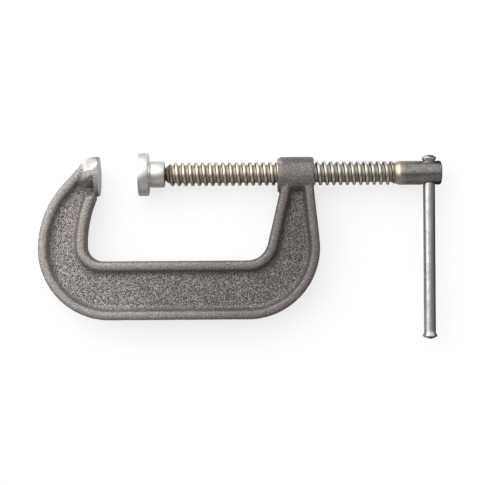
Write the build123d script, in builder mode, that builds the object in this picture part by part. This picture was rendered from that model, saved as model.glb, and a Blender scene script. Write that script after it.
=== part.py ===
from build123d import *

import os
from math import cos, radians, sin, sqrt, tan

os.makedirs("parts", exist_ok=True)

# A 4 inch C clamp lying on its side. The origin is the middle of the anvil face on
# the screw axis, +X runs along the screw to the handle, +Y away from the spine, +Z up.

# frame casting
rim_half_height = 9.5
rim_width = 5.8
web_half_height = 3.4
spine_bottom = -97.0
throat_bottom = -57.9
left_heel_radius = 47.5
right_heel_radius = 48.0
heel_left = -40.5
heel_right = 147.0
jaw_back_radius = 63.1
inner_left_radius = 10.4
inner_right_radius = 14.0
arm_lean = 13.4
outer_lean = 6.0
pocket_draft = 18.0
crest_rounding = 2.4
web_fillet = 3.0

# anvil pad at the end of the fixed arm
anvil_middle = -1.0
anvil_radius = 13.4
anvil_thickness = 2.5
anvil_root = -13.0
anvil_root_radius = 8.0
arm_end_trim = -14.0
hollow_left = -14.0
hollow_right = -2.8
hollow_foot = -9.6

# hub that carries the screw
hub_start = 119.1
hub_end = 143.1
hub_radius = 11.2
hub_chamfer = 2.6
hub_chamfer_depth = 1.2
countersink_depth = 2.2

# screw thread, single start and right handed
pitch = 4.5
crest_radius = 7.95
root_radius = 5.95
crest_width = 1.55
root_width = 2.75
thread_start = 43.2
thread_turns = 35
thread_gap = 0.3
hub_first_turn = 16
hub_turns = 8

# screw ends
ball_centre = 36.4
ball_radius = 5.2
ring_groove_radius = 2.9
ring_groove_end = 41.95
neck_radius = 3.85
neck_end = 43.9
cone_end = 48.2
run_out_start = 194.5
head_start = 200.2
head_end = 228.4
head_radius = 8.0
head_rounding = 1.3
cross_hole_centre = 220.4
cross_hole_radius = 4.3

# swivel pad
pad_face = 26.3
flange_end = 33.0
flange_radius = 14.3
collar_end = 43.7
collar_radius = 8.75
socket_radius = 5.5
ring_space_start = 39.1
ring_space_end = 42.7
ring_space_radius = 6.9
mouth_radius = 5.3

# retaining ring round the neck, behind the ball
ring_start = 40.7
ring_end = 41.6
ring_inner_radius = 3.25
ring_outer_radius = 5.9
ring_gap_width = 1.6

# sliding handle bar
bar_radius = 3.97
bar_top = 12.1
bar_bottom = -109.7
upset_radius = 5.05
upset_length = 2.9
upset_neck = 1.5
dome_height = 1.9


def polar(centre, radius, angle):
    """The point at an angle on a circle."""
    return (
        centre[0] + radius * cos(radians(angle)),
        centre[1] + radius * sin(radians(angle)),
    )


def thread_ridge(first_turn, turns, gap):
    """A trapezoid ridge wound round the screw axis, in step with the screw's thread and
    fatter than it by the gap all over."""
    start = thread_start + first_turn * pitch
    with BuildPart() as ridge:
        with BuildLine() as helix:
            Helix(pitch, turns * pitch, root_radius, (start, 0, 0), (1, 0, 0))
        with BuildSketch(Plane((start, 0, 0), x_dir=(1, 0, 0), z_dir=(0, -1, 0))):
            with BuildLine():
                Polyline(
                    (-root_width / 2 - gap, root_radius - 0.2),
                    (-crest_width / 2 - gap, crest_radius + gap),
                    (crest_width / 2 + gap, crest_radius + gap),
                    (root_width / 2 + gap, root_radius - 0.2),
                    close=True,
                )
            make_face()
        sweep(path=helix.line, is_frenet=True)
    return ridge.part


# ---------------------------------------------------------------- frame casting
# One iron casting: a C with a thin web between a rim round the inside and a rim round
# the outside, an anvil pad at one end and a tapped hub at the other.
left_heel = (heel_left + left_heel_radius, spine_bottom + left_heel_radius)
right_heel = (heel_right - right_heel_radius, spine_bottom + right_heel_radius)
left_back = (heel_left + jaw_back_radius, left_heel[1])
back_top = polar(left_back, jaw_back_radius, 140)
right_edge = polar(right_heel, right_heel_radius, outer_lean)
inner_left = (1.6, throat_bottom + inner_left_radius)
inner_right = (98.7, throat_bottom + inner_right_radius)
inner_wall_foot = (inner_left[0] - inner_left_radius, inner_left[1])
inner_wall_top = (-anvil_thickness, -16.4)
anvil_axis = Axis((0, anvil_middle, 0), (1, 0, 0))
arm_foot = polar(inner_right, inner_right_radius, -arm_lean)
arm_top = (arm_foot[0] - arm_foot[1] * tan(radians(arm_lean)), 0)
hub_side = (right_edge[0] + right_edge[1] * tan(radians(outer_lean)), 0)

with BuildPart() as frame:
    with BuildSketch() as outline:
        with BuildLine():
            Polyline(
                (-anvil_thickness, inner_wall_top[1]),
                (-anvil_thickness, anvil_middle + anvil_radius),
                (-6.2, anvil_middle + anvil_radius),
                back_top,
            )
            ThreePointArc(
                back_top,
                polar(left_back, jaw_back_radius, 160),
                (heel_left, left_back[1]),
            )
            ThreePointArc(
                (heel_left, left_heel[1]),
                polar(left_heel, left_heel_radius, 225),
                (left_heel[0], spine_bottom),
            )
            Line((left_heel[0], spine_bottom), (right_heel[0], spine_bottom))
            ThreePointArc(
                (right_heel[0], spine_bottom),
                polar(right_heel, right_heel_radius, -42),
                right_edge,
            )
            Polyline(right_edge, hub_side, arm_top, arm_foot)
            ThreePointArc(
                arm_foot,
                polar(inner_right, inner_right_radius, -52),
                (inner_right[0], throat_bottom),
            )
            Line((inner_right[0], throat_bottom), (inner_left[0], throat_bottom))
            ThreePointArc(
                (inner_left[0], throat_bottom),
                polar(inner_left, inner_left_radius, 225),
                inner_wall_foot,
            )
            ThreePointArc(inner_wall_foot, (-7.2, -31.8), inner_wall_top)
        make_face()
    extrude(amount=rim_half_height)
    with BuildSketch(Plane.XY.offset(rim_half_height)):
        offset(outline.sketch, amount=-rim_width, kind=Kind.INTERSECTION)
    extrude(
        amount=web_half_height - rim_half_height,
        taper=pocket_draft,
        mode=Mode.SUBTRACT,
    )
    crest = frame.faces().sort_by(Axis.Z)[-1]
    fillet(crest.inner_wires().edges(), radius=crest_rounding)
    crest = frame.faces().sort_by(Axis.Z)[-1]
    fillet(crest.outer_wire().edges(), radius=crest_rounding)
    web = frame.faces().filter_by(Plane.XY).sort_by(Axis.Z)[1]
    fillet(web.edges(), radius=web_fillet)
    with BuildSketch():
        with BuildLine():
            Polyline(
                (1, anvil_middle + anvil_radius),
                (-anvil_thickness, anvil_middle + anvil_radius),
                (arm_end_trim, anvil_middle + anvil_radius - 2),
                (arm_end_trim, anvil_middle + 2 * anvil_radius),
                (1, anvil_middle + 2 * anvil_radius),
                close=True,
            )
        make_face()
    revolve(axis=anvil_axis, revolution_arc=90, mode=Mode.SUBTRACT)
    mirror(about=Plane.XY)
    with BuildSketch():
        with BuildLine():
            Polyline(
                (0, anvil_middle),
                (0, anvil_middle + anvil_radius),
                (-anvil_thickness, anvil_middle + anvil_radius),
                (anvil_root, anvil_middle + anvil_root_radius),
                (anvil_root, anvil_middle),
                close=True,
            )
        make_face()
    revolve(axis=anvil_axis)
    with BuildSketch(Plane.YZ.offset(hollow_left)):
        with BuildLine():
            Polyline(
                (hollow_foot, web_half_height + 0.1),
                (hollow_foot + 9, web_half_height + 9.4),
                (hollow_foot + 9, web_half_height + 14),
                (hollow_foot - 5, web_half_height + 14),
                (hollow_foot - 5, web_half_height + 5.2),
                close=True,
            )
        make_face()
        mirror(about=Plane.XZ)
    extrude(amount=hollow_right - hollow_left, mode=Mode.SUBTRACT)
    with BuildSketch():
        with BuildLine():
            Polyline(
                (hub_start, 0),
                (hub_start, hub_radius - hub_chamfer_depth),
                (hub_start + hub_chamfer, hub_radius),
                (hub_end - 0.4, hub_radius),
                (hub_end, hub_radius - 0.4),
                (hub_end, 0),
                close=True,
            )
        make_face()
    revolve(axis=Axis.X)
    with BuildSketch():
        with BuildLine():
            Polyline(
                (hub_start - 2, 0),
                (hub_start - 2, crest_radius + 2.8),
                (hub_start + countersink_depth, root_radius + thread_gap),
                (hub_end - countersink_depth, root_radius + thread_gap),
                (hub_end + 2, crest_radius + 2.8),
                (hub_end + 2, 0),
                close=True,
            )
        make_face()
    revolve(axis=Axis.X, mode=Mode.SUBTRACT)
    add(thread_ridge(hub_first_turn, hub_turns, thread_gap), mode=Mode.SUBTRACT)
frame.part.label = "frame"
export_step(frame.part, "parts/frame.step")

# ---------------------------------------------------------------- screw
# One steel screw: ball end and neck turned on it, a coarse thread, and a plain head with
# a hole across it for the handle bar.
groove_reach = sqrt(ball_radius**2 - ring_groove_radius**2)
cone_slope = (crest_radius - neck_radius) / (cone_end - neck_end)
head_corner = (head_end - head_rounding, head_radius - head_rounding)
with BuildPart() as screw_thread:
    add(thread_ridge(0, thread_turns, 0))
    with BuildSketch():
        with BuildLine():
            Polyline(
                (neck_end - 3, neck_radius - 3 * cone_slope),
                (cone_end + 0.6, crest_radius + 0.6 * cone_slope),
                (neck_end - 3, crest_radius + 0.6 * cone_slope),
                close=True,
            )
        make_face()
    revolve(axis=Axis.X, mode=Mode.SUBTRACT)

with BuildPart() as screw:
    with BuildSketch():
        with BuildLine():
            Polyline(
                (ball_centre - ball_radius, 0),
                (head_start + 4, 0),
                (head_start + 4, root_radius),
                (cone_end - 1.6, root_radius),
                (neck_end, neck_radius),
                (ring_groove_end, neck_radius),
                (ring_groove_end, ring_groove_radius),
                (ball_centre + groove_reach, ring_groove_radius),
            )
            ThreePointArc(
                (ball_centre + groove_reach, ring_groove_radius),
                (ball_centre, ball_radius),
                (ball_centre - ball_radius, 0),
            )
        make_face()
    revolve(axis=Axis.X)
    add(screw_thread.part)
    with BuildSketch():
        with BuildLine():
            Polyline(
                (run_out_start, root_radius - 0.1),
                (run_out_start, 0),
                (head_end, 0),
                (head_end, head_corner[1]),
            )
            ThreePointArc(
                (head_end, head_corner[1]),
                polar(head_corner, head_rounding, 45),
                (head_corner[0], head_radius),
            )
            Polyline(
                (head_corner[0], head_radius),
                (head_start, head_radius),
                (run_out_start, root_radius - 0.1),
            )
        make_face()
    revolve(axis=Axis.X)
    with BuildSketch(Plane.XZ):
        with Locations((cross_hole_centre, 0)):
            Circle(cross_hole_radius)
    extrude(amount=head_radius + 2, both=True, mode=Mode.SUBTRACT)
screw.part.label = "screw"
export_step(screw.part, "parts/screw.step")

# ---------------------------------------------------------------- swivel pad
# A turned steel foot: a round flange and a collar, with a socket for the ball end and a
# wide groove inside the mouth that gives the retaining ring room as the pad tips.
with BuildPart() as swivel_pad:
    with BuildSketch():
        with BuildLine():
            Polyline(
                (ball_centre - socket_radius, 0),
                (pad_face, 0),
                (pad_face, flange_radius - 0.5),
                (pad_face + 0.5, flange_radius),
                (flange_end - 0.5, flange_radius),
                (flange_end, flange_radius - 0.5),
                (flange_end, collar_radius - 0.8),
                (flange_end + 1.0, collar_radius - 0.8),
                (flange_end + 1.4, collar_radius),
                (collar_end - 0.8, collar_radius),
                (collar_end, collar_radius - 0.8),
                (collar_end, mouth_radius),
                (ring_space_end, mouth_radius),
                (ring_space_end, ring_space_radius),
                (ring_space_start, ring_space_radius),
                (ring_space_start, socket_radius),
                (ball_centre, socket_radius),
            )
            ThreePointArc(
                (ball_centre, socket_radius),
                polar((ball_centre, 0), socket_radius, 135),
                (ball_centre - socket_radius, 0),
            )
        make_face()
    revolve(axis=Axis.X)
swivel_pad.part.label = "swivel_pad"
export_step(swivel_pad.part, "parts/swivel_pad.step")

# ---------------------------------------------------------------- retaining ring
# A split spring-steel ring behind the ball. The mouth of the pad can't pass it.
with BuildPart() as pad_retaining_ring:
    with BuildSketch(Plane.YZ.offset(ring_start)):
        Circle(ring_outer_radius)
        Circle(ring_inner_radius, mode=Mode.SUBTRACT)
        with Locations((-ring_outer_radius, 0)):
            Rectangle(2 * ring_outer_radius, ring_gap_width, mode=Mode.SUBTRACT)
    extrude(amount=ring_end - ring_start)
    fillet(pad_retaining_ring.edges().filter_by(GeomType.CIRCLE), radius=0.2)
pad_retaining_ring.part.label = "pad_retaining_ring"
export_step(pad_retaining_ring.part, "parts/pad_retaining_ring.step")

# ---------------------------------------------------------------- handle bar
# A round bar that slides through the head. Both ends are upset so that it can't fall out.
bar_axis = Axis((cross_hole_centre, 0, 0), (0, 1, 0))
dome_radius = (upset_radius**2 + dome_height**2) / (2 * dome_height)
top_dome = (cross_hole_centre, bar_top - dome_radius)
bottom_dome = (cross_hole_centre, bar_bottom + dome_radius)
shank_side = cross_hole_centre + bar_radius
upset_side = cross_hole_centre + upset_radius
with BuildPart() as handle_bar:
    with BuildSketch():
        with BuildLine():
            Line((cross_hole_centre, bar_bottom), (cross_hole_centre, bar_top))
            ThreePointArc(
                (cross_hole_centre, bar_top),
                polar(top_dome, dome_radius, 70),
                (upset_side, bar_top - dome_height),
            )
            Polyline(
                (upset_side, bar_top - dome_height),
                (upset_side, bar_top - upset_length),
                (shank_side, bar_top - upset_length - upset_neck),
                (shank_side, bar_bottom + upset_length + upset_neck),
                (upset_side, bar_bottom + upset_length),
                (upset_side, bar_bottom + dome_height),
            )
            ThreePointArc(
                (upset_side, bar_bottom + dome_height),
                polar(bottom_dome, dome_radius, -70),
                (cross_hole_centre, bar_bottom),
            )
        make_face()
    revolve(axis=bar_axis)
handle_bar.part.label = "handle_bar"
export_step(handle_bar.part, "parts/handle_bar.step")
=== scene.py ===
from math import cos, pi, radians, sin, sqrt

import bpy
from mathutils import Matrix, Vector


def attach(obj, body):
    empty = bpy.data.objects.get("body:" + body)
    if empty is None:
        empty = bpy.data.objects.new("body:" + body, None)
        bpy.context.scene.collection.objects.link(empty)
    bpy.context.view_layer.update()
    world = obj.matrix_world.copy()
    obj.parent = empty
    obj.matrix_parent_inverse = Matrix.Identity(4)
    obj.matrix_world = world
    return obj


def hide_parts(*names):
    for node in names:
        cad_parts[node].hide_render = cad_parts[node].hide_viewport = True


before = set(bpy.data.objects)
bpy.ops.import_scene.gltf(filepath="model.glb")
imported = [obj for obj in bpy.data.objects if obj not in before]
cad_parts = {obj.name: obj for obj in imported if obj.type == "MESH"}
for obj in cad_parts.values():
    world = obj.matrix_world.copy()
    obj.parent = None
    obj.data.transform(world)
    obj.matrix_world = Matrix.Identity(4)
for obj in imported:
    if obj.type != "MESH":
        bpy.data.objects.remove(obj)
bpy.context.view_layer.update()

# ---------------------------------------------------------------------------------------------
# Frame casting. Grey iron poured in sand, so its skin is lumpy and sparkles with fine grain. The
# anvil, the hub's ends and its tapped hole are machined after casting, which leaves them flat and
# bright, and the tip of the arm is ground to a blunt edge.
mm = 0.001
hub_start = 119.1 * mm
hub_end = 143.1 * mm
hub_radius = 11.2 * mm
underside_radius = 11.7 * mm
underside_drop = 0.7 * mm
plug_radius = 9.6 * mm
anvil_middle = -1.0 * mm
anvil_radius = 13.4 * mm
tip_height = 11.9 * mm
grind_depth = 1.0 * mm
chamfer_length = 2.6 * mm
countersink_depth = 2.2 * mm
casting_grid = 0.68 * mm


def choose(piece):
    """Makes a piece the only one selected."""
    bpy.ops.object.select_all(action="DESELECT")
    piece.select_set(True)
    bpy.context.view_layer.objects.active = piece


def work(piece, kind, **settings):
    """Puts one modifier on a piece and applies it."""
    choose(piece)
    step = piece.modifiers.new(kind.lower(), kind)
    for name, value in settings.items():
        setattr(step, name, value)
    bpy.ops.object.modifier_apply(modifier=step.name)


def cut_with(piece, tool, operation="DIFFERENCE"):
    """Joins a piece with a tool body, or cuts the tool out of it, and throws the tool away."""
    work(
        piece, "BOOLEAN", object=tool, operation=operation, solver="MANIFOLD",
        material_mode="TRANSFER",
    )
    bpy.data.objects.remove(tool)


def turned(name, stations, sides=96, metal=None):
    """A round body on the screw axis, pulled out ring by ring through (place, radius) pairs."""
    place, radius = stations[0]
    bpy.ops.mesh.primitive_circle_add(
        vertices=sides, radius=radius, fill_type="NGON", location=(place, 0, 0),
        rotation=(0, pi / 2, 0),
    )
    body = bpy.context.object
    body.name = name
    choose(body)
    bpy.ops.object.transform_apply(location=True, rotation=True, scale=True)
    bpy.ops.object.mode_set(mode="EDIT")
    bpy.ops.mesh.select_all(action="SELECT")
    for next_place, next_radius in stations[1:]:
        step = (next_place - place, 0, 0)
        bpy.ops.mesh.extrude_region_move(TRANSFORM_OT_translate={"value": step})
        widen = next_radius / radius
        bpy.ops.transform.resize(value=(1, widen, widen), center_override=(next_place, 0, 0))
        place, radius = next_place, next_radius
    bpy.ops.mesh.select_all(action="SELECT")
    bpy.ops.mesh.normals_make_consistent(inside=False)
    bpy.ops.object.mode_set(mode="OBJECT")
    if metal:
        body.data.materials.append(metal)
    return body


def block(name, low, high, metal=None):
    """A square-edged body between two corners, to cut with."""
    middle = [(a + b) / 2 for a, b in zip(low, high)]
    bpy.ops.mesh.primitive_cube_add(size=1, location=middle)
    body = bpy.context.object
    body.name = name
    body.scale = [b - a for a, b in zip(low, high)]
    choose(body)
    bpy.ops.object.transform_apply(location=True, rotation=True, scale=True)
    if metal:
        body.data.materials.append(metal)
    return body


# the thread, shared by the hub's tapped hole and the screw
pitch = 4.5 * mm
crest_radius = 7.95 * mm
root_radius = 5.95 * mm
crest_width = 1.55 * mm
root_width = 2.75 * mm
thread_start = 43.2 * mm


def threaded_rod(name, start, end, gap, rounding, steps, metal):
    """A threaded body from start to end: one tooth's outline drawn point by point, then wound."""
    half_crest = crest_width / 2 + gap
    half_root = root_width / 2 + gap
    top = crest_radius + gap
    bottom = root_radius + gap
    side = [
        (half_root + 0.4 * rounding, bottom),
        (half_root - 0.2 * rounding, bottom + 0.35 * rounding),
        (half_crest + 0.35 * rounding, top - 1.1 * rounding),
        (half_crest - 0.05 * rounding, top - 0.3 * rounding),
        (half_crest - 0.8 * rounding, top),
    ]
    outline = [(-x, r) for x, r in side] + [(0, top)] + side[::-1] + [(pitch / 2, bottom)]
    turns_before = int((start - thread_start) / pitch) - 2
    first = thread_start + turns_before * pitch
    turns = int((end - start) / pitch) + 5
    bpy.ops.mesh.primitive_plane_add(size=mm, location=(0, 0, 0))
    body = bpy.context.object
    body.name = name
    choose(body)
    bpy.ops.object.mode_set(mode="EDIT")
    bpy.ops.mesh.select_all(action="SELECT")
    bpy.ops.mesh.merge(type="CENTER")
    here = Vector((first - pitch / 2, 0, bottom))
    bpy.ops.transform.translate(value=here)
    for x, r in outline:
        there = Vector((first + x, 0, r))
        bpy.ops.mesh.extrude_region_move(TRANSFORM_OT_translate={"value": there - here})
        here = there
    bpy.ops.object.mode_set(mode="OBJECT")
    work(
        body, "SCREW", axis="X", angle=2 * pi, screw_offset=pitch, iterations=turns, steps=steps,
        render_steps=steps,
    )
    choose(body)
    bpy.ops.object.mode_set(mode="EDIT")
    bpy.ops.mesh.select_all(action="SELECT")
    bpy.ops.mesh.remove_doubles(threshold=0.002 * mm)
    bpy.ops.mesh.select_all(action="SELECT")
    bpy.ops.mesh.bisect(
        plane_co=(start, 0, 0), plane_no=(1, 0, 0), use_fill=True, clear_inner=True,
        threshold=1e-7,
    )
    bpy.ops.mesh.select_all(action="SELECT")
    bpy.ops.mesh.bisect(
        plane_co=(end, 0, 0), plane_no=(1, 0, 0), use_fill=True, clear_outer=True,
        threshold=1e-7,
    )
    bpy.ops.mesh.select_all(action="SELECT")
    bpy.ops.mesh.normals_make_consistent(inside=False)
    bpy.ops.object.mode_set(mode="OBJECT")
    body.data.materials.append(metal)
    return body


def new_material(name):
    """A named material: its node tree, its shader and the piece's own coordinates."""
    made = bpy.data.materials.new(name)
    made.use_nodes = True
    tree = made.node_tree
    place = tree.nodes.new("ShaderNodeTexCoord")
    return made, tree, tree.nodes["Principled BSDF"], place.outputs["Object"]


def plug_in(tree, socket, value):
    """Sets a socket to a number or joins it to another socket."""
    if isinstance(value, bpy.types.NodeSocket):
        tree.links.new(value, socket)
    else:
        socket.default_value = value


def add_node(tree, kind, inputs=(), **settings):
    """Adds a node, with its settings and its inputs by name or number."""
    node = tree.nodes.new(kind)
    for name, value in settings.items():
        setattr(node, name, value)
    for name, value in dict(inputs).items():
        plug_in(tree, node.inputs[name], value)
    return node


def maths(tree, operation, a, b=0.0):
    """One sum on two values."""
    return add_node(tree, "ShaderNodeMath", {0: a, 1: b}, operation=operation).outputs[0]


def noise(tree, where, scale, detail=2.0, roughness=0.5):
    """Noise from 0 to 1, with scale in cells to the metre."""
    inputs = {"Vector": where, "Scale": scale, "Detail": detail, "Roughness": roughness}
    return add_node(tree, "ShaderNodeTexNoise", inputs).outputs["Fac"]


def spread(tree, value, low, high, to_low=0.0, to_high=1.0):
    """Stretches a value from one range to another and stops at the ends."""
    inputs = {0: value, 1: low, 2: high, 3: to_low, 4: to_high}
    return add_node(tree, "ShaderNodeMapRange", inputs).outputs[0]


def shades(tree, value, *stops):
    """Turns a value into a colour through (place, red, green, blue) stops."""
    node = add_node(tree, "ShaderNodeValToRGB", {0: value})
    steps = node.color_ramp.elements
    while len(steps) < len(stops):
        steps.new(0.5)
    for step, (place, red, green, blue) in zip(steps, stops):
        step.position = place
        step.color = (red, green, blue, 1)
    return node.outputs["Color"]


def blend(tree, share, a, b, kind="MIX"):
    """Mixes two colours by a share from 0 to 1."""
    node = add_node(tree, "ShaderNodeMix", data_type="RGBA", blend_type=kind)
    for number, value in ((0, share), (6, a), (7, b)):
        plug_in(tree, node.inputs[number], value)
    return node.outputs[2]


def bump(tree, height, depth):
    """A surface normal from a height of 0 to 1 times a real depth."""
    inputs = {"Height": height, "Distance": depth, "Strength": 1.0}
    return add_node(tree, "ShaderNodeBump", inputs).outputs["Normal"]


def new_group(name, takes, gives):
    """An empty shader node group with named inputs and outputs."""
    made = bpy.data.node_groups.new(name, "ShaderNodeTree")
    for title, kind in takes:
        made.interface.new_socket(title, in_out="INPUT", socket_type=kind)
    for title, kind in gives:
        made.interface.new_socket(title, in_out="OUTPUT", socket_type=kind)
    start = made.nodes.new("NodeGroupInput")
    end = made.nodes.new("NodeGroupOutput")
    return made, start.outputs, end.inputs


# Lathe lines: fine grooves round the axis. Also gives the radius from the axis, in metres.
turning, given, result = new_group(
    "turning_marks",
    [("Vector", "NodeSocketVector"), ("Lines", "NodeSocketFloat")],
    [("Groove", "NodeSocketFloat"), ("Radius", "NodeSocketFloat")],
)
parts = add_node(turning, "ShaderNodeSeparateXYZ", {0: given["Vector"]}).outputs
squares = maths(
    turning, "ADD", maths(turning, "MULTIPLY", parts["Y"], parts["Y"]),
    maths(turning, "MULTIPLY", parts["Z"], parts["Z"]),
)
radius_out = maths(turning, "SQRT", squares)
along = add_node(
    turning, "ShaderNodeCombineXYZ",
    {"X": parts["X"], "Y": radius_out, "Z": maths(turning, "MULTIPLY", parts["Y"], 0.02)},
).outputs[0]
turning.links.new(noise(turning, along, given["Lines"], 3.0, 0.65), result["Groove"])
turning.links.new(radius_out, result["Radius"])

# Tarnish: soft uneven blotches of dulled metal, with Size in metres.
tarnish, given, result = new_group(
    "tarnish",
    [("Vector", "NodeSocketVector"), ("Size", "NodeSocketFloat")],
    [("Amount", "NodeSocketFloat")],
)
blotch = noise(tarnish, given["Vector"], maths(tarnish, "DIVIDE", 1.0, given["Size"]), 5.0, 0.62)
tarnish.links.new(spread(tarnish, blotch, 0.38, 0.66), result["Amount"])

# Worn edges: 1 on sharp outer corners, broken up a little.
worn, given, result = new_group(
    "worn_edges", [("Vector", "NodeSocketVector")], [("Amount", "NodeSocketFloat")]
)
corner = add_node(worn, "ShaderNodeNewGeometry").outputs["Pointiness"]
broken = maths(worn, "MULTIPLY", noise(worn, given["Vector"], 500.0, 3.0), 0.03)
worn.links.new(spread(worn, maths(worn, "ADD", corner, broken), 0.535, 0.6), result["Amount"])


def use_group(tree, made, **inputs):
    """Puts a node group into a material."""
    node = add_node(tree, "ShaderNodeGroup", node_tree=made)
    for name, value in inputs.items():
        plug_in(tree, node.inputs[name], value)
    return node.outputs


# as-cast skin: warm grey with pits nearly black and grains that catch the light, coarsest on the
# web, with painted shade darkening the corners and hollows, rims rubbed lighter by hands, and a
# painted light falloff that darkens the casting from left to right, towards the hub's arm
cast_iron, tree, shader, here = new_material("cast_iron")
parts = add_node(tree, "ShaderNodeSeparateXYZ", {0: here}).outputs
height = maths(tree, "ABSOLUTE", parts["Z"])
web = spread(tree, height, 4.2 * mm, 7.0 * mm, 1.0, 0.0)
rim_top = spread(tree, height, 8.3 * mm, 9.4 * mm)
grains = noise(tree, here, 1400.0, 2.0, 0.7)
fine = noise(tree, here, 2900.0, 1.0)
sharp = maths(tree, "SUBTRACT", spread(tree, grains, 0.32, 0.68), 0.5)
coarse = maths(
    tree, "ADD", spread(tree, web, 0.0, 1.0, 0.5, 1.2), spread(tree, rim_top, 0.0, 1.0, 0.0, 0.45)
)
sharp = maths(tree, "MULTIPLY", sharp, coarse)
skin = shades(
    tree, maths(tree, "ADD", sharp, 0.5),
    (0.0, 0.036, 0.030, 0.032), (0.36, 0.172, 0.156, 0.149), (0.6, 0.318, 0.294, 0.274),
    (0.88, 0.88, 0.82, 0.75),
)
patches = use_group(tree, tarnish, Vector=here, Size=14 * mm)["Amount"]
skin = blend(tree, maths(tree, "MULTIPLY", patches, 0.3), skin, (0.12, 0.10, 0.105, 1))
skin = blend(tree, maths(tree, "MULTIPLY", rim_top, 0.3), skin, (0.56, 0.53, 0.49, 1))
# painted light falloff: the casting's colour darkens steadily from left to right, to about half by
# the hub's arm
painted_light_falloff = shades(
    tree, spread(tree, parts["X"], -35 * mm, 125 * mm), (0.0, 1.0, 1.0, 1.0),
    (0.5, 0.74, 0.73, 0.73), (1.0, 0.52, 0.5, 0.51),
)
skin = blend(tree, 1.0, skin, painted_light_falloff, "MULTIPLY")
rubbed = use_group(tree, worn, Vector=here)["Amount"]
skin = blend(tree, maths(tree, "MULTIPLY", rubbed, 0.7), skin, (0.5, 0.48, 0.45, 1))
# painted shade: where little open air reaches the surface, in corners and recesses, the colour goes
# to a near-black purple
corners = add_node(tree, "ShaderNodeAmbientOcclusion", {"Distance": 7 * mm}, samples=6)
open_air = corners.outputs["AO"]
painted_corner_shade = spread(tree, open_air, 0.35, 0.8, 0.85, 0.0)
skin = blend(tree, painted_corner_shade, skin, (0.022, 0.017, 0.024, 1))
plug_in(tree, shader.inputs["Base Color"], skin)
plug_in(tree, shader.inputs["Metallic"], 0.4)
rough = spread(tree, fine, 0.3, 0.7, 0.36, 0.58)
rough = maths(tree, "SUBTRACT", rough, maths(tree, "MULTIPLY", rim_top, 0.08))
plug_in(tree, shader.inputs["Roughness"], rough)
texture = maths(tree, "ADD", grains, maths(tree, "MULTIPLY", fine, 0.25))
texture = maths(tree, "MULTIPLY", texture, spread(tree, web, 0.0, 1.0, 0.8, 1.0))
plug_in(tree, shader.inputs["Normal"], bump(tree, texture, 0.35 * mm))

# machined iron: bright, with the tool's rings and a little grey graphite showing
bare_iron, tree, shader, here = new_material("bare_iron")
marks = use_group(tree, turning, Vector=here, Lines=2200.0)
patches = use_group(tree, tarnish, Vector=here, Size=3 * mm)["Amount"]
bright = blend(tree, patches, (0.80, 0.78, 0.75, 1), (0.56, 0.54, 0.52, 1))
bright = blend(
    tree, spread(tree, marks["Groove"], 0.35, 0.65, 0.3, 0.0), bright, (0.12, 0.115, 0.11, 1)
)
plug_in(tree, shader.inputs["Base Color"], bright)
plug_in(tree, shader.inputs["Metallic"], 0.9)
plug_in(tree, shader.inputs["Roughness"], spread(tree, patches, 0.0, 1.0, 0.42, 0.6))
plug_in(tree, shader.inputs["Normal"], bump(tree, marks["Groove"], 0.03 * mm))

# The rough casting: the designed shape with its hole plugged and some metal left on for the
# machining, remeshed, then swelled and sunk by two scales of noise.
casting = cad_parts["frame"].copy()
casting.data = casting.data.copy()
casting.name = "frame_casting"
bpy.context.collection.objects.link(casting)
casting.data.materials.clear()
casting.data.materials.append(cast_iron)
choose(casting)
bpy.ops.object.mode_set(mode="EDIT")
bpy.ops.mesh.select_all(action="SELECT")
bpy.ops.mesh.remove_doubles(threshold=0.001 * mm)
bpy.ops.object.mode_set(mode="OBJECT")
plug = turned("hub_plug", [(hub_start - mm, plug_radius), (hub_end + mm, plug_radius)])
cut_with(casting, plug, "UNION")
chamfer_stock = turned(
    "chamfer_stock", [(hub_start - mm, hub_radius), (hub_start + 3 * mm, hub_radius)]
)
cut_with(casting, chamfer_stock, "UNION")
underside = turned(
    "hub_underside",
    [(hub_start + 0.3 * mm, underside_radius), (hub_end - 0.3 * mm, underside_radius)],
)
underside.location.y = -underside_drop
choose(underside)
bpy.ops.object.transform_apply(location=True)
cut_with(casting, underside, "UNION")
left_on = turned("anvil_stock", [(-2 * mm, anvil_radius), (1.2 * mm, anvil_radius)])
left_on.location.y = anvil_middle
choose(left_on)
bpy.ops.object.transform_apply(location=True)
cut_with(casting, left_on, "UNION")
work(casting, "REMESH", mode="VOXEL", voxel_size=casting_grid, adaptivity=0)
work(casting, "SMOOTH", factor=0.5, iterations=4)

lumps = bpy.data.textures.new("casting_lumps", "CLOUDS")
lumps.noise_scale = 7 * mm
lumps.noise_depth = 2
grain = bpy.data.textures.new("casting_grain", "CLOUDS")
grain.noise_scale = 1.3 * mm
grain.noise_depth = 1
work(
    casting, "DISPLACE", texture=lumps, texture_coords="LOCAL", strength=0.25 * mm, mid_level=0.7
)
work(
    casting, "DISPLACE", texture=grain, texture_coords="LOCAL", strength=0.2 * mm, mid_level=0.62
)

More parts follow.
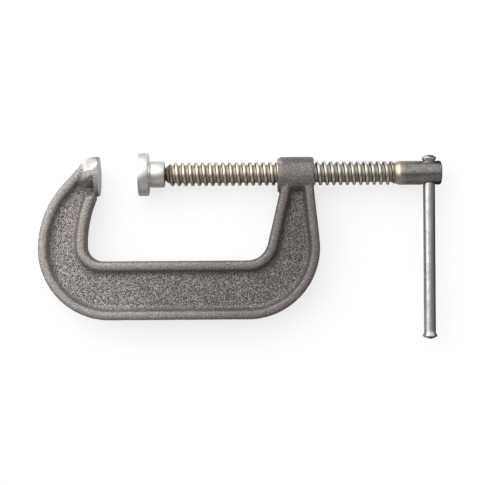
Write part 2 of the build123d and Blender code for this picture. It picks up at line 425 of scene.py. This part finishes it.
# Machining: the anvil is faced and the tip is ground flat on top and on both sides. Then both ends
# of the hub are faced and countersunk, its left edge is turned off, and the hole is tapped.
cut_with(
    casting, block("face_mill", (0, -40 * mm, -30 * mm), (9 * mm, 40 * mm, 30 * mm), bare_iron)
)
cut_with(
    casting,
    block("tip_grinder", (-20 * mm, tip_height, -20 * mm), (5 * mm, 16 * mm, 20 * mm), bare_iron),
)
for side in (-1, 1):
    flat = Vector((-0.42, 0.58, 0.70 * side)).normalized()
    wheel = block("grinding_wheel", (-9 * mm, -9 * mm, 0), (9 * mm, 9 * mm, 12 * mm), bare_iron)
    wheel.rotation_euler = flat.to_track_quat("Z", "Y").to_euler()
    wheel.location = Vector((-2.5 * mm, 7.6 * mm, side * 10.26 * mm)) - grind_depth * flat
    choose(wheel)
    bpy.ops.object.transform_apply(location=True, rotation=True)
    cut_with(casting, wheel)
facing = hub_radius + 0.5 * mm
for near in (hub_start - 4 * mm, hub_end):
    end_tool = turned("facing_tool", [(near, facing), (near + 4 * mm, facing)], metal=bare_iron)
    cut_with(casting, end_tool)
chamfer_ring = turned(
    "chamfer_ring",
    [(hub_start - mm, facing), (hub_start + chamfer_length, facing)],
    metal=cast_iron,
)
chamfer_core = turned(
    "chamfer_core",
    [(hub_start - 2 * mm, hub_radius - 2 * mm), (hub_start + 3 * mm, hub_radius + 0.1 * mm)],
    metal=cast_iron,
)
cut_with(chamfer_ring, chamfer_core)
cut_with(casting, chamfer_ring)
for near, inward in ((hub_start, 1), (hub_end, -1)):
    countersink = turned(
        "countersink",
        [
            (near - inward * 2 * mm, crest_radius + 2.8 * mm),
            (near + inward * countersink_depth, root_radius + 0.25 * mm),
        ],
        metal=bare_iron,
    )
    cut_with(casting, countersink)
tap = threaded_rod(
    "tap", hub_start - 1.5 * mm, hub_end + 1.5 * mm, 0.3 * mm, 0.3 * mm, 48, bare_iron
)
cut_with(casting, tap)
choose(casting)
bpy.ops.object.shade_smooth_by_angle(angle=radians(40))
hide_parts("frame")
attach(casting, "frame_body")

# ---------------------------------------------------------------------------------------------
# Screw. Turned from mild steel with a coarse thread: a ball end and neck at the pad, a plain head
# with a cross hole at the other end. The crests are rubbed bright, old oil browns the roots, and
# the flanks between them are painted dark as shade.
ball_centre = 36.4 * mm
ball_radius = 5.2 * mm
neck_radius = 3.85 * mm
neck_end = 43.9 * mm
cone_end = 48.2 * mm
head_start = 200.2 * mm
head_end = 228.4 * mm
head_radius = 8.0 * mm
cross_hole = 220.4 * mm
cross_hole_radius = 4.3 * mm
run_out = 194.5 * mm

screw_steel, tree, shader, here = new_material("screw_steel")
marks = use_group(tree, turning, Vector=here, Lines=1500.0)
patches = use_group(tree, tarnish, Vector=here, Size=4 * mm)["Amount"]
depth = spread(tree, marks["Radius"], root_radius, crest_radius)
# colour by depth in the thread: brown roots, painted shade on the flanks, rubbed bright crests;
# oily up to the hub, cleaner from the hub to the head
oily_with_flank_shade = shades(
    tree, depth, (0.0, 0.58, 0.49, 0.38), (0.1, 0.46, 0.38, 0.29), (0.25, 0.13, 0.10, 0.08),
    (0.7, 0.20, 0.165, 0.13), (0.93, 0.80, 0.71, 0.56), (1.0, 0.90, 0.83, 0.70),
)
clean_with_flank_shade = shades(
    tree, depth, (0.0, 0.46, 0.41, 0.36), (0.1, 0.36, 0.32, 0.28), (0.25, 0.09, 0.078, 0.072),
    (0.7, 0.17, 0.15, 0.135), (0.93, 0.72, 0.67, 0.59), (1.0, 0.84, 0.79, 0.71),
)
along = add_node(tree, "ShaderNodeSeparateXYZ", {0: here}).outputs["X"]
thread_metal_and_flank_shade = blend(tree, spread(tree, along, 118 * mm, 150 * mm), oily_with_flank_shade, clean_with_flank_shade)
scuffs = use_group(tree, tarnish, Vector=here, Size=1.6 * mm)["Amount"]
head_metal = blend(tree, patches, (0.46, 0.44, 0.425, 1), (0.30, 0.28, 0.27, 1))
head_metal = blend(tree, maths(tree, "MULTIPLY", scuffs, 0.5), head_metal, (0.13, 0.12, 0.12, 1))
fresh = (0.66, 0.58, 0.47, 1)
steel = blend(tree, spread(tree, along, 195 * mm, 198.5 * mm), thread_metal_and_flank_shade, fresh)
steel = blend(tree, spread(tree, along, 200.5 * mm, 204 * mm), steel, head_metal)
steel = blend(
    tree, spread(tree, marks["Groove"], 0.35, 0.65, 0.5, 0.0), steel, (0.10, 0.085, 0.08, 1)
)
plug_in(tree, shader.inputs["Base Color"], steel)
plug_in(tree, shader.inputs["Metallic"], 1.0)
rough = maths(tree, "SUBTRACT", 0.46, maths(tree, "MULTIPLY", depth, 0.2))
rough = maths(tree, "ADD", rough, maths(tree, "MULTIPLY", patches, 0.12))
plug_in(tree, shader.inputs["Roughness"], rough)
plug_in(tree, shader.inputs["Normal"], bump(tree, marks["Groove"], 0.05 * mm))

screw = threaded_rod("screw_turned", 43.0 * mm, head_start + mm, 0, 0.4 * mm, 48, screw_steel)
crest_reach = crest_radius + 0.3 * mm
envelope = turned(
    "thread_envelope",
    [
        (neck_end - 1.9 * mm, neck_radius - 1.8 * mm),
        (neck_end, neck_radius),
        (cone_end, crest_radius),
        (cone_end + 0.35 * mm, crest_reach),
        (run_out, crest_reach),
        (run_out + 5.2 * mm, root_radius),
        (head_start + 0.5 * mm, root_radius),
    ],
    metal=screw_steel,
)
cut_with(screw, envelope, "INTERSECT")
ball = [
    (ball_centre + ball_radius * sin(radians(a)), ball_radius * cos(radians(a)))
    for a in (-85, *range(-78, 35, 14), 46)
]
body = turned(
    "screw_body",
    ball
    + [
        (40.8 * mm, 3.0 * mm),
        (41.8 * mm, 3.0 * mm),
        (41.95 * mm, 3.6 * mm),
        (42.2 * mm, neck_radius),
        (neck_end, neck_radius),
        (cone_end - 1.6 * mm, root_radius),
        (run_out, root_radius),
        (head_start, head_radius - 0.15 * mm),
        (head_start + 0.2 * mm, head_radius),
        (head_end - 1.3 * mm, head_radius),
        (head_end - 0.8 * mm, head_radius - 0.1 * mm),
        (head_end - 0.38 * mm, head_radius - 0.38 * mm),
        (head_end - 0.1 * mm, head_radius - 0.8 * mm),
        (head_end, head_radius - 1.3 * mm),
    ],
    metal=screw_steel,
)
cut_with(screw, body, "UNION")


def lay_across(piece):
    """Turns a piece made on the screw axis so that it lies in the head's cross hole."""
    piece.rotation_euler.z = pi / 2
    piece.location.x = cross_hole
    choose(piece)
    bpy.ops.object.transform_apply(location=True, rotation=True)


drill = turned(
    "cross_drill", [(-10 * mm, cross_hole_radius), (10 * mm, cross_hole_radius)], 64, screw_steel
)
lay_across(drill)
cut_with(screw, drill)
for side in (-1, 1):
    reamer = turned(
        "cross_countersink",
        [(side * 6.2 * mm, cross_hole_radius - 0.6 * mm), (side * 9.2 * mm, 6.1 * mm)],
        64,
        screw_steel,
    )
    lay_across(reamer)
    cut_with(screw, reamer)
nick = block(
    "nick", (209.9 * mm, -0.4 * mm, 7.2 * mm), (210.35 * mm, 4.3 * mm, 9 * mm), screw_steel
)
cut_with(screw, nick)
choose(screw)
bpy.ops.object.shade_smooth_by_angle(angle=radians(32))
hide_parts("screw")
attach(screw, "screw_body")

# ---------------------------------------------------------------------------------------------
# Swivel pad. A turned steel foot: a flange that bears on the work, and a collar with the socket for
# the screw's ball. It is finely turned all over and its edges are just broken with a file.
pad_face = 26.3 * mm
flange_end = 33.0 * mm
flange_radius = 14.3 * mm
collar_end = 43.7 * mm
collar_radius = 8.75 * mm
socket_radius = 5.5 * mm
mouth_radius = 5.3 * mm
ring_groove_radius = 6.9 * mm
ring_groove = (39.1 * mm, 42.7 * mm)

pad_steel, tree, shader, here = new_material("pad_steel")
marks = use_group(tree, turning, Vector=here, Lines=2600.0)
patches = use_group(tree, tarnish, Vector=here, Size=6 * mm)["Amount"]
polish = blend(tree, patches, (0.84, 0.82, 0.79, 1), (0.70, 0.685, 0.66, 1))
polish = blend(
    tree, spread(tree, marks["Groove"], 0.3, 0.6, 0.35, 0.0), polish, (0.3, 0.29, 0.28, 1)
)
along = add_node(tree, "ShaderNodeSeparateXYZ", {0: here}).outputs["X"]
# painted shade: the collar's bore and the ball socket are darkened inside, from just past the
# flange onwards
inside = spread(tree, marks["Radius"], 5.6 * mm, 7.4 * mm, 0.7, 0.0)
inside = maths(tree, "MULTIPLY", inside, spread(tree, along, 29 * mm, 30.5 * mm))
polish = blend(tree, inside, polish, (0.07, 0.06, 0.05, 1))
plug_in(tree, shader.inputs["Base Color"], polish)
plug_in(tree, shader.inputs["Metallic"], 1.0)
plug_in(tree, shader.inputs["Roughness"], spread(tree, patches, 0.0, 1.0, 0.36, 0.48))
plug_in(tree, shader.inputs["Normal"], bump(tree, marks["Groove"], 0.02 * mm))

socket_wall = [
    (ball_centre - socket_radius * sin(radians(a)), socket_radius * cos(radians(a)))
    for a in range(0, 88, 8)
]
pad = turned(
    "swivel_pad_turned",
    [
        (pad_face, flange_radius - 0.5 * mm),
        (pad_face + 0.15 * mm, flange_radius - 0.15 * mm),
        (pad_face + 0.5 * mm, flange_radius),
        (flange_end - 0.5 * mm, flange_radius),
        (flange_end - 0.15 * mm, flange_radius - 0.15 * mm),
        (flange_end, flange_radius - 0.5 * mm),
        (flange_end, collar_radius - 0.3 * mm),
        (flange_end + 0.12 * mm, collar_radius - 0.7 * mm),
        (flange_end + 0.9 * mm, collar_radius - 0.8 * mm),
        (flange_end + 1.3 * mm, collar_radius - 0.12 * mm),
        (flange_end + 1.6 * mm, collar_radius),
        (collar_end - 0.8 * mm, collar_radius),
        (collar_end - 0.2 * mm, collar_radius - 0.3 * mm),
        (collar_end, collar_radius - 0.8 * mm),
        (collar_end, mouth_radius + 0.2 * mm),
        (collar_end - 0.2 * mm, mouth_radius),
        (ring_groove[1], mouth_radius),
        (ring_groove[1], ring_groove_radius),
        (ring_groove[0], ring_groove_radius),
        (ring_groove[0], socket_radius),
    ]
    + socket_wall,
    128,
    pad_steel,
)
choose(pad)
bpy.ops.object.shade_smooth_by_angle(angle=radians(30))
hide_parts("swivel_pad")
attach(pad, "pad_body")

# ---------------------------------------------------------------------------------------------
# Retaining ring. Spring steel, blued by its heat treatment and split so that it can be sprung over
# the screw's neck. It sits behind the ball, inside the collar.
ring_start = 40.7 * mm
ring_end = 41.6 * mm
ring_radius = 5.9 * mm
ring_bore_radius = 3.25 * mm
ring_gap = 1.6 * mm
ring_edge = 0.14 * mm

ring_steel, tree, shader, here = new_material("ring_steel")
marks = use_group(tree, turning, Vector=here, Lines=3000.0)
patches = use_group(tree, tarnish, Vector=here, Size=3 * mm)["Amount"]
blued = blend(tree, patches, (0.16, 0.18, 0.23, 1), (0.24, 0.2, 0.16, 1))
edges = use_group(tree, worn, Vector=here)["Amount"]
blued = blend(tree, maths(tree, "MULTIPLY", edges, 0.6), blued, (0.5, 0.49, 0.47, 1))
plug_in(tree, shader.inputs["Base Color"], blued)
plug_in(tree, shader.inputs["Metallic"], 1.0)
plug_in(tree, shader.inputs["Roughness"], spread(tree, patches, 0.0, 1.0, 0.25, 0.45))
plug_in(tree, shader.inputs["Normal"], bump(tree, marks["Groove"], 0.02 * mm))

ring = turned(
    "split_ring", [(ring_start, ring_radius), (ring_end, ring_radius)], metal=ring_steel
)
bore = turned(
    "ring_bore", [(40 * mm, ring_bore_radius), (42 * mm, ring_bore_radius)], metal=ring_steel
)
cut_with(ring, bore)
saw = block(
    "ring_saw", (40 * mm, -9 * mm, -ring_gap / 2), (42 * mm, 0, ring_gap / 2), ring_steel
)
cut_with(ring, saw)
work(ring, "BEVEL", width=ring_edge, segments=3, limit_method="ANGLE", angle_limit=radians(40))
choose(ring)
bpy.ops.object.shade_smooth_by_angle(angle=radians(35))
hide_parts("pad_retaining_ring")
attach(ring, "ring_body")

# ---------------------------------------------------------------------------------------------
# Handle bar. Round mild-steel bar, drawn bright, pushed through the head and hammered up at both
# ends so that it can't fall out. The hammering leaves the ends a little uneven.
bar_radius = 3.97 * mm
bar_top = 12.1 * mm
bar_bottom = -111.2 * mm
upset_radius = 5.05 * mm
upset_length = 2.9 * mm
upset_neck = 1.5 * mm
dome_height = 1.9 * mm
hammered_length = 3.4 * mm

bar_steel, tree, shader, here = new_material("bar_steel")
lengthwise = add_node(
    tree, "ShaderNodeMapping", {"Vector": here, "Scale": (1500.0, 40.0, 1500.0)},
    vector_type="POINT",
).outputs[0]
brushed = noise(tree, lengthwise, 1.0, 3.0, 0.6)
patches = use_group(tree, tarnish, Vector=here, Size=5 * mm)["Amount"]
drawn = blend(tree, patches, (0.70, 0.675, 0.655, 1), (0.50, 0.48, 0.465, 1))
drawn = blend(tree, spread(tree, brushed, 0.3, 0.6, 0.4, 0.0), drawn, (0.16, 0.15, 0.14, 1))
edges = use_group(tree, worn, Vector=here)["Amount"]
drawn = blend(tree, maths(tree, "MULTIPLY", edges, 0.6), drawn, (0.75, 0.74, 0.72, 1))
plug_in(tree, shader.inputs["Base Color"], drawn)
plug_in(tree, shader.inputs["Metallic"], 1.0)
plug_in(tree, shader.inputs["Roughness"], spread(tree, patches, 0.0, 1.0, 0.2, 0.34))
plug_in(tree, shader.inputs["Normal"], bump(tree, brushed, 0.03 * mm))

dome_radius = (upset_radius**2 + dome_height**2) / (2 * dome_height)
end_stations = []
for share in (0.03, 0.15, 0.3, 0.45, 0.6, 0.75, 0.88, 0.96):
    out = share * upset_radius
    end_stations.append((dome_radius - sqrt(dome_radius**2 - out**2), out))
end_stations += [
    (dome_height + 0.1 * mm, upset_radius - 0.02 * mm),
    (dome_height + 0.4 * mm, upset_radius),
    (upset_length - 0.45 * mm, upset_radius),
    (upset_length - 0.1 * mm, upset_radius - 0.25 * mm),
    (upset_length + upset_neck * 0.55, bar_radius + 0.35 * mm),
    (upset_length + upset_neck, bar_radius),
]
bar_length = bar_top - bar_bottom
shank = [(bar_bottom + bar_length * (0.05 + 0.9 * n / 24), bar_radius) for n in range(25)]
bar = turned(
    "handle_bar_drawn",
    [(bar_bottom + d, r) for d, r in end_stations]
    + shank
    + [(bar_top - d, r) for d, r in end_stations[::-1]],
    80,
    bar_steel,
)
lay_across(bar)
hammered = bar.vertex_groups.new(name="hammered")
for vertex in bar.data.vertices:
    from_end = min(bar_top - vertex.co.y, vertex.co.y - bar_bottom)
    share = max(0.0, min(1.0, 1.4 - from_end / hammered_length))
    hammered.add([vertex.index], share, "REPLACE")
blows = bpy.data.textures.new("hammer_blows", "CLOUDS")
blows.noise_scale = 2.6 * mm
blows.noise_depth = 1
work(
    bar, "DISPLACE", texture=blows, texture_coords="LOCAL", strength=0.5 * mm, mid_level=0.8,
    vertex_group="hammered",
)
bar.vertex_groups.clear()
choose(bar)
bpy.ops.object.shade_smooth_by_angle(angle=radians(40))
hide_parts("handle_bar")
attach(bar, "bar_body")

# ---------------------------------------------------------------------------------------------
# Floor, light and camera. A white floor, one large soft light from the upper left and pale
# surroundings, bright on the far side and grey on the near side, with a darker band between. The
# floor also carries a painted reflection: to mirror rays it is grey on the near side, pale on the
# far side and nearly black from the handle bar rightwards.
floor_height = -14.4 * mm
bpy.ops.mesh.primitive_plane_add(size=6, location=(0, 0, floor_height))
floor = bpy.context.object
floor.name = "floor"
paper, tree, shader, here = new_material("floor_white_painted_reflection")
ray = add_node(tree, "ShaderNodeLightPath").outputs
spot = add_node(tree, "ShaderNodeSeparateXYZ", {0: here}).outputs
# painted reflection: only mirror rays see these floor colours; the camera sees the floor evenly
# white
far_side = spread(tree, spot["Y"], -16 * mm, -6 * mm)
dark_reflection_mask = spread(tree, spot["X"], 219 * mm, 223 * mm)
painted_floor_reflection = blend(tree, far_side, (0.48, 0.48, 0.485, 1), (0.78, 0.78, 0.78, 1))
painted_floor_reflection = blend(tree, dark_reflection_mask, painted_floor_reflection, (0.07, 0.07, 0.075, 1))
white = blend(tree, ray["Is Glossy Ray"], (0.36, 0.36, 0.36, 1), painted_floor_reflection)
plug_in(tree, shader.inputs["Base Color"], white)
plug_in(tree, shader.inputs["Roughness"], 0.8)
plug_in(tree, shader.inputs["Specular IOR Level"], 0.0)
plug_in(tree, shader.inputs["Emission Color"], (1, 1, 1, 1))
glow = maths(tree, "MULTIPLY", ray["Is Camera Ray"], 0.72)
plug_in(tree, shader.inputs["Emission Strength"], glow)
floor.data.materials.append(paper)

bpy.ops.object.camera_add(location=(0.0954, -0.04585, 0.8526), rotation=(0, 0, radians(-0.4)))
camera = bpy.context.object
camera.data.lens = 94.6
camera.data.sensor_width = 36
bpy.context.scene.camera = camera

bpy.ops.object.light_add(type="AREA", location=(-0.32, 0.38, 0.42))
key = bpy.context.object
key.data.size = 1.1
key.data.energy = 5.3
aim = Vector((0.09, -0.04, 0)) - key.location
key.rotation_euler = aim.to_track_quat("-Z", "Y").to_euler()

world = bpy.data.worlds.new("studio")
bpy.context.scene.world = world
world.use_nodes = True
tree = world.node_tree
sky = tree.nodes["Background"]
direction = add_node(tree, "ShaderNodeTexCoord").outputs["Generated"]
toward = add_node(
    tree, "ShaderNodeVectorMath", {0: direction, 1: (-0.35, 0.93, 0.05)}, operation="DOT_PRODUCT"
).outputs["Value"]
plug_in(
    tree, sky.inputs["Color"],
    shades(
        tree, spread(tree, toward, -1.0, 1.0), (0.0, 0.46, 0.455, 0.465), (0.2, 0.40, 0.395, 0.405),
        (0.31, 0.16, 0.157, 0.16), (0.42, 0.26, 0.258, 0.262), (0.5, 0.62, 0.62, 0.62),
        (0.58, 0.95, 0.95, 0.95),
    ),
)
plug_in(tree, sky.inputs["Strength"], 1.0)
bpy.context.scene.view_settings.view_transform = "Standard"
